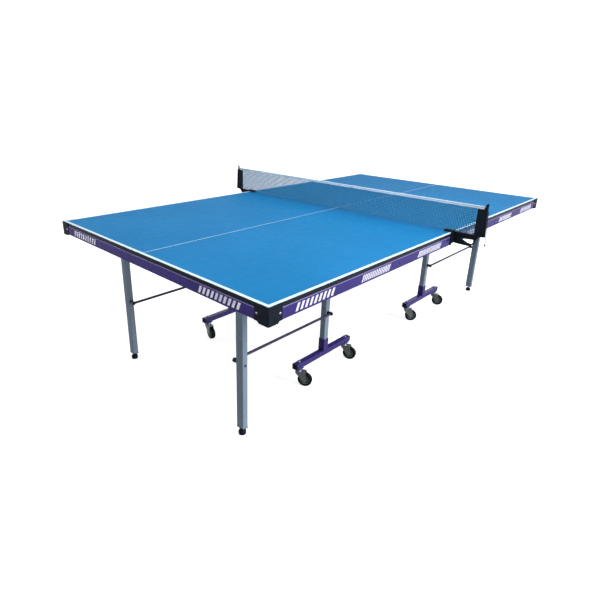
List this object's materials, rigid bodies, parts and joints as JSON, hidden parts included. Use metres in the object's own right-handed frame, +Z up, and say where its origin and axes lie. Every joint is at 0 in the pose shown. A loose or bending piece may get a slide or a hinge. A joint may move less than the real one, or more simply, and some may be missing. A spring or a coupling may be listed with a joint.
{
  "type": "ping pong table",
  "caption": "Rollaway ping pong table: blue tops with purple aprons that fold up over wheeled T-leg carriages, linked end legs, and a clamp-on net.",
  "frame": {"origin": "on the floor under the middle of the table, at the centre of the whole object's base", "axes": "+X along the table's length towards half b, +Y across towards the left side, +Z up; the playing surface is at z = 760 mm"},
  "size_m": [2.7524, 1.843, 0.928],
  "materials": {
    "playing_board": "matt lacquered blue with white lines, dark sealed edge",
    "apron_paint": "semi-gloss purple powder coat",
    "black_plastic": "fine moulded grain",
    "zinc_steel": "bright zinc plate",
    "frame_paint": "satin black powder coat",
    "leg_paint": "satin silver-grey powder coat",
    "rod_paint": "satin dark purple powder coat",
    "black_steel": "satin black",
    "caster_steel": "zinc-plated pressed steel",
    "wheel_rubber": "black rubber tread on a grey hub",
    "post_paint": "satin black powder coat",
    "net_cloth": "knotted dark net",
    "net_tape": "white woven tape",
    "cord": "braided black cord"
  },
  "bodies": {
    "top_a": {"tabletop_a": "playing_board", "apron_a": "apron_paint", "corner_caps_a": "black_plastic", "cap_screws_a": "zinc_steel", "under_beams_a": "frame_paint", "hinge_brackets_a": "zinc_steel", "hinge_bolts_a": "zinc_steel", "net_post_right": "post_paint", "net_post_left": "post_paint", "net_mesh": "net_cloth", "net_tape": "net_tape", "net_cord": "cord", "cord_bead": "black_plastic"},
    "legs_a": {"end_legs_a": "leg_paint", "leg_plugs_a": "black_plastic", "link_bolts_a": "black_steel"},
    "links_a": {"link_rods_a": "rod_paint"},
    "carriage_a": {"uprights_a": "leg_paint", "bases_a": "apron_paint", "base_plugs_a": "black_plastic", "caster_stems_a": "zinc_steel", "link_pins_a": "black_steel"},
    "leveller_a_right": {"leveller_a_right": "black_plastic"},
    "fork_a_right_inner": {"fork_a_right_inner": "caster_steel"},
    "wheel_a_right_inner": {"wheel_a_right_inner": "wheel_rubber"},
    "fork_a_right_outer": {"fork_a_right_outer": "caster_steel"},
    "wheel_a_right_outer": {"wheel_a_right_outer": "wheel_rubber"},
    "leveller_a_left": {"leveller_a_left": "black_plastic"},
    "fork_a_left_inner": {"fork_a_left_inner": "caster_steel"},
    "wheel_a_left_inner": {"wheel_a_left_inner": "wheel_rubber"},
    "fork_a_left_outer": {"fork_a_left_outer": "caster_steel"},
    "wheel_a_left_outer": {"wheel_a_left_outer": "wheel_rubber"},
    "top_b": {"tabletop_b": "playing_board", "apron_b": "apron_paint", "corner_caps_b": "black_plastic", "cap_screws_b": "zinc_steel", "under_beams_b": "frame_paint", "hinge_brackets_b": "zinc_steel", "hinge_bolts_b": "zinc_steel"},
    "legs_b": {"end_legs_b": "leg_paint", "leg_plugs_b": "black_plastic", "link_bolts_b": "black_steel"},
    "links_b": {"link_rods_b": "rod_paint"},
    "carriage_b": {"uprights_b": "leg_paint", "bases_b": "apron_paint", "base_plugs_b": "black_plastic", "caster_stems_b": "zinc_steel", "link_pins_b": "black_steel"},
    "leveller_b_right": {"leveller_b_right": "black_plastic"},
    "fork_b_right_inner": {"fork_b_right_inner": "caster_steel"},
    "wheel_b_right_inner": {"wheel_b_right_inner": "wheel_rubber"},
    "fork_b_right_outer": {"fork_b_right_outer": "caster_steel"},
    "wheel_b_right_outer": {"wheel_b_right_outer": "wheel_rubber"},
    "leveller_b_left": {"leveller_b_left": "black_plastic"},
    "fork_b_left_inner": {"fork_b_left_inner": "caster_steel"},
    "wheel_b_left_inner": {"wheel_b_left_inner": "wheel_rubber"},
    "fork_b_left_outer": {"fork_b_left_outer": "caster_steel"},
    "wheel_b_left_outer": {"wheel_b_left_outer": "wheel_rubber"},
    "clamp_screw_right": {"clamp_screw_right": "black_plastic"},
    "clamp_screw_left": {"clamp_screw_left": "black_plastic"}
  },
  "joints": [
    {"name": "fold_a", "type": "hinge", "parent": "carriage_a", "child": "top_a", "pos_m": [-0.548, 0, 0.7], "axis": [0, 1, 0], "range_deg": [0, 90]},
    {"name": "legs_fold_a", "type": "hinge", "parent": "top_a", "child": "legs_a", "pos_m": [-1.205, 0, 0.7], "axis": [0, 1, 0], "range_deg": [-90, 0]},
    {"name": "links_swing_a", "type": "hinge", "parent": "carriage_a", "child": "links_a", "pos_m": [-0.548, 0, 0.35], "axis": [0, 1, 0], "range_deg": [0, 90]},
    {"name": "adjust_a_right", "type": "slide", "parent": "legs_a", "child": "leveller_a_right", "axis": [0, 0, -1], "range_m": [-0.006, 0.012]},
    {"name": "swivel_a_right_inner", "type": "hinge", "parent": "carriage_a", "child": "fork_a_right_inner", "pos_m": [-0.352, -0.37, 0.09], "axis": [0, 0, 1], "continuous": true},
    {"name": "roll_a_right_inner", "type": "hinge", "parent": "fork_a_right_inner", "child": "wheel_a_right_inner", "pos_m": [-0.34118, -0.40329, 0.0375], "axis": [-0.9511, -0.309, 0], "continuous": true},
    {"name": "swivel_a_right_outer", "type": "hinge", "parent": "carriage_a", "child": "fork_a_right_outer", "pos_m": [-0.744, -0.37, 0.09], "axis": [0, 0, 1], "continuous": true},
    {"name": "roll_a_right_outer", "type": "hinge", "parent": "fork_a_right_outer", "child": "wheel_a_right_outer", "pos_m": [-0.72811, -0.40119, 0.0375], "axis": [-0.891, -0.454, 0], "continuous": true},
    {"name": "adjust_a_left", "type": "slide", "parent": "legs_a", "child": "leveller_a_left", "axis": [0, 0, -1], "range_m": [-0.006, 0.012]},
    {"name": "swivel_a_left_inner", "type": "hinge", "parent": "carriage_a", "child": "fork_a_left_inner", "pos_m": [-0.352, 0.37, 0.09], "axis": [0, 0, 1], "continuous": true},
    {"name": "roll_a_left_inner", "type": "hinge", "parent": "fork_a_left_inner", "child": "wheel_a_left_inner", "pos_m": [-0.34592, 0.33553, 0.0375], "axis": [-0.9848, -0.1736, 0], "continuous": true},
    {"name": "swivel_a_left_outer", "type": "hinge", "parent": "carriage_a", "child": "fork_a_left_outer", "pos_m": [-0.744, 0.37, 0.09], "axis": [0, 0, 1], "continuous": true},
    {"name": "roll_a_left_outer", "type": "hinge", "parent": "fork_a_left_outer", "child": "wheel_a_left_outer", "pos_m": [-0.75008, 0.33553, 0.0375], "axis": [-0.9848, 0.1736, 0], "continuous": true},
    {"name": "fold_b", "type": "hinge", "parent": "carriage_b", "child": "top_b", "pos_m": [0.548, 0, 0.7], "axis": [0, -1, 0], "range_deg": [0, 90]},
    {"name": "legs_fold_b", "type": "hinge", "parent": "top_b", "child": "legs_b", "pos_m": [1.205, 0, 0.7], "axis": [0, -1, 0], "range_deg": [-90, 0]},
    {"name": "links_swing_b", "type": "hinge", "parent": "carriage_b", "child": "links_b", "pos_m": [0.548, 0, 0.35], "axis": [0, -1, 0], "range_deg": [0, 90]},
    {"name": "adjust_b_right", "type": "slide", "parent": "legs_b", "child": "leveller_b_right", "axis": [0, 0, -1], "range_m": [-0.006, 0.012]},
    {"name": "swivel_b_right_inner", "type": "hinge", "parent": "carriage_b", "child": "fork_b_right_inner", "pos_m": [0.352, -0.37, 0.09], "axis": [0, 0, 1], "continuous": true},
    {"name": "roll_b_right_inner", "type": "hinge", "parent": "fork_b_right_inner", "child": "wheel_b_right_inner", "pos_m": [0.37355, -0.39758, 0.0375], "axis": [-0.788, -0.6157, 0], "continuous": true},
    {"name": "swivel_b_right_outer", "type": "hinge", "parent": "carriage_b", "child": "fork_b_right_outer", "pos_m": [0.744, -0.37, 0.09], "axis": [0, 0, 1], "continuous": true},
    {"name": "roll_b_right_outer", "type": "hinge", "parent": "fork_b_right_outer", "child": "wheel_b_right_outer", "pos_m": [0.75597, -0.40289, 0.0375], "axis": [-0.9397, -0.342, 0], "continuous": true},
    {"name": "adjust_b_left", "type": "slide", "parent": "legs_b", "child": "leveller_b_left", "axis": [0, 0, -1], "range_m": [-0.006, 0.012]},
    {"name": "swivel_b_left_inner", "type": "hinge", "parent": "carriage_b", "child": "fork_b_left_inner", "pos_m": [0.352, 0.37, 0.09], "axis": [0, 0, 1], "continuous": true},
    {"name": "roll_b_left_inner", "type": "hinge", "parent": "fork_b_left_inner", "child": "wheel_b_left_inner", "pos_m": [0.36624, 0.33803, 0.0375], "axis": [-0.9135, -0.4067, 0], "continuous": true},
    {"name": "swivel_b_left_outer", "type": "hinge", "parent": "carriage_b", "child": "fork_b_left_outer", "pos_m": [0.744, 0.37, 0.09], "axis": [0, 0, 1], "continuous": true},
    {"name": "roll_b_left_outer", "type": "hinge", "parent": "fork_b_left_outer", "child": "wheel_b_left_outer", "pos_m": [0.74766, 0.33519, 0.0375], "axis": [-0.9945, -0.1045, 0], "continuous": true},
    {"name": "roll_apart", "type": "slide", "parent": "carriage_a", "child": "carriage_b", "axis": [1, 0, 0], "range_m": [0, 0.71]},
    {"name": "clamp_right", "type": "slide", "parent": "top_a", "child": "clamp_screw_right", "axis": [0, 0, -1], "range_m": [0, 0.012]},
    {"name": "clamp_left", "type": "slide", "parent": "top_a", "child": "clamp_screw_left", "axis": [0, 0, -1], "range_m": [0, 0.012]}
  ],
  "couplings": [
    {"joint": "legs_fold_a", "follows": "fold_a", "ratio": -1},
    {"joint": "links_swing_a", "follows": "fold_a", "ratio": 1},
    {"joint": "legs_fold_b", "follows": "fold_b", "ratio": -1},
    {"joint": "links_swing_b", "follows": "fold_b", "ratio": 1},
    {"joint": "roll_apart", "follows": "fold_a", "m_per_rad": 0.45}
  ]
}
